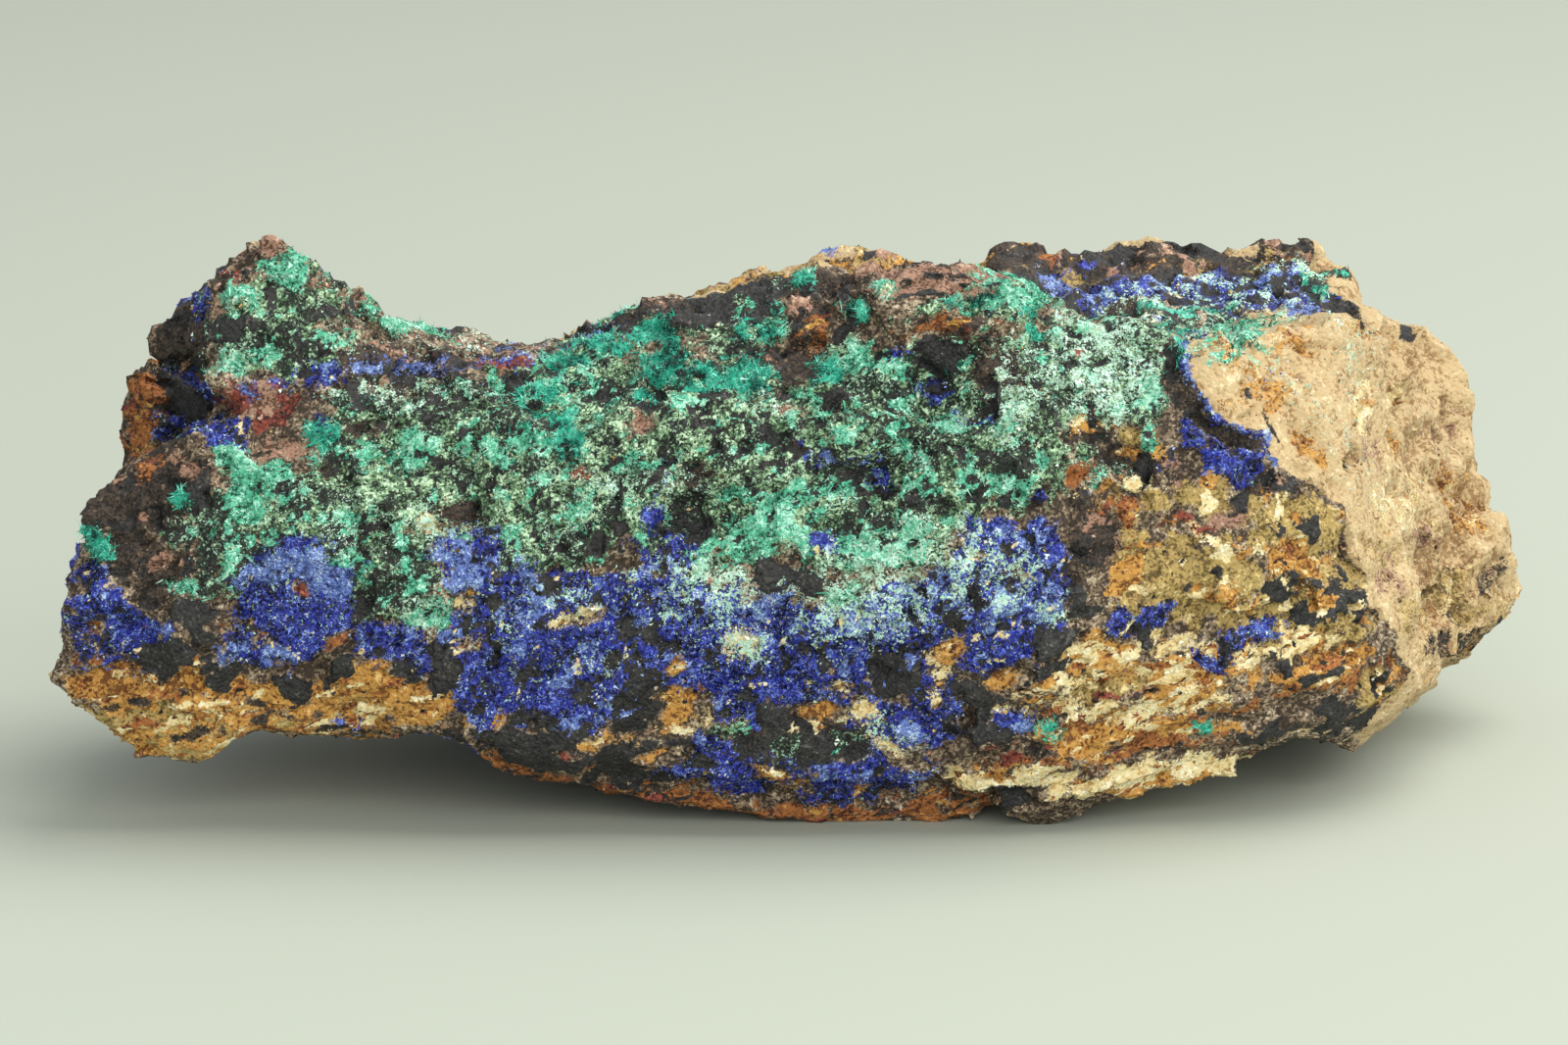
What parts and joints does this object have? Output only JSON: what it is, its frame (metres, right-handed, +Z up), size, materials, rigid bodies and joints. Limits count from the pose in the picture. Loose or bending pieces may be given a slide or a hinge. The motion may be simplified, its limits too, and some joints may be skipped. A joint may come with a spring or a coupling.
{
  "type": "azurite specimen",
  "caption": "Broken hand specimen of azurite and malachite crusts over layered limonite rock, a long low stone with a peak at one end, for display on a shelf",
  "frame": {"origin": "centre of the stone's footprint box, on the surface that it rests on", "axes": "+X runs along the stone from the peaked end to the weathered end, +Y points away from the crusted face, +Z is up"},
  "size_m": [0.1576, 0.086, 0.0618],
  "materials": {
    "copper_ore": "rough broken rock with blue azurite, green malachite, black goethite and ochre limonite"
  },
  "bodies": {
    "root": {"azurite_stone": "copper_ore"}
  },
  "joints": []
}
